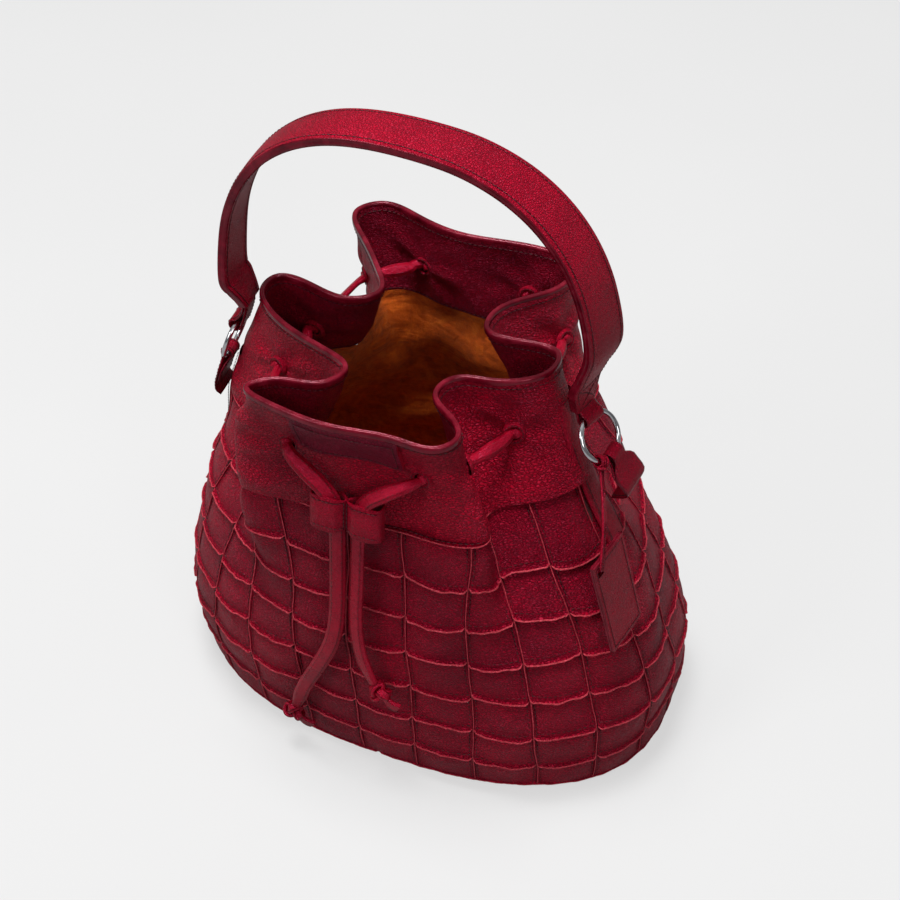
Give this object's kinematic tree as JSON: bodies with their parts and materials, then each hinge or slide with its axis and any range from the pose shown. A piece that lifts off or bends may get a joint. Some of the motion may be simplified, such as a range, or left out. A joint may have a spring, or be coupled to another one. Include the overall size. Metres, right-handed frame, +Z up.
{
  "type": "bucket bag",
  "caption": "Drawstring bucket bag with a patchwork leather body, gathered collar, arched top handle on rings and a hanging tag.",
  "frame": {"origin": "middle of the flat base, on the surface that the bag stands on", "axes": "+Z up, -Y the front where the drawstring hangs, +X to the right of somebody who faces the front"},
  "size_m": [0.3373, 0.2344, 0.421],
  "materials": {
    "grained_leather": "pebbled, satin",
    "patchwork_leather": "fine grain, satin",
    "lace_leather": "smooth, satin",
    "edge_paint": "burnished edge",
    "suede": "suede",
    "interlining": "felted",
    "board": "pressed fibre board",
    "chrome": "polished"
  },
  "bodies": {
    "bag": {"base_panel": "patchwork_leather", "base_stiffener_board": "board", "lining_floor": "suede", "patchwork_row_1": "patchwork_leather", "patchwork_row_2": "patchwork_leather", "patchwork_row_3": "patchwork_leather", "patchwork_row_4": "patchwork_leather", "patchwork_row_5": "patchwork_leather", "patchwork_row_6": "patchwork_leather", "patchwork_row_7": "patchwork_leather", "interlining": "interlining", "suede_lining": "suede", "collar": "grained_leather", "collar_facing": "grained_leather", "rim_binding": "edge_paint", "eyelet_rings": "grained_leather", "rim_patch": "grained_leather", "drawstring": "lace_leather", "lace_tail_left": "lace_leather", "lace_tail_right": "lace_leather", "lace_knot_left": "lace_leather", "lace_knot_right": "lace_leather", "ring_tab_left": "grained_leather", "ring_tab_right": "grained_leather", "side_strip_left": "grained_leather", "side_strip_right": "grained_leather"},
    "handle": {"handle_strap": "grained_leather", "handle_lining": "grained_leather", "handle_padding": "interlining", "handle_loop_left": "grained_leather", "handle_loop_right": "grained_leather"},
    "slider": {"lace_slider": "grained_leather"},
    "ring_left": {"o_ring_left": "chrome"},
    "ring_right": {"o_ring_right": "chrome"},
    "hitch": {"lanyard_hitch": "lace_leather"},
    "tag": {"tag_front": "grained_leather", "tag_back": "grained_leather", "tag_lanyard": "lace_leather"}
  },
  "joints": [
    {"name": "handle_tilt", "type": "hinge", "parent": "bag", "child": "handle", "pos_m": [-0.0165, -0.0055, 0.257], "axis": [1, 0, 0], "range_deg": [-74, 74], "deforming": ["handle_loop_left", "handle_loop_right"]},
    {"name": "slider_slide", "type": "slide", "parent": "bag", "child": "slider", "axis": [0.03, -0.18, -0.9832], "range_m": [0, 0.04]},
    {"name": "ring_left_turn", "type": "hinge", "parent": "bag", "child": "ring_left", "pos_m": [-0.13748, -0.0075, 0.243], "axis": [-0.9487, -0.0663, 0.309], "continuous": true},
    {"name": "ring_right_turn", "type": "hinge", "parent": "bag", "child": "ring_right", "pos_m": [0.10452, -0.0075, 0.243], "axis": [0.7885, -0.2562, 0.5592], "range_deg": [-40, 1]},
    {"name": "tag_swing", "type": "hinge", "parent": "ring_right", "child": "hitch", "pos_m": [0.10914, -0.01694, 0.23216], "axis": [-0.5335, -0.7372, 0.4145], "range_deg": [0, 75]},
    {"name": "tag_sway", "type": "hinge", "parent": "hitch", "child": "tag", "pos_m": [0.10914, -0.01694, 0.23216], "axis": [-0.7885, 0.2562, -0.5592], "range_deg": [-20, 50]}
  ]
}
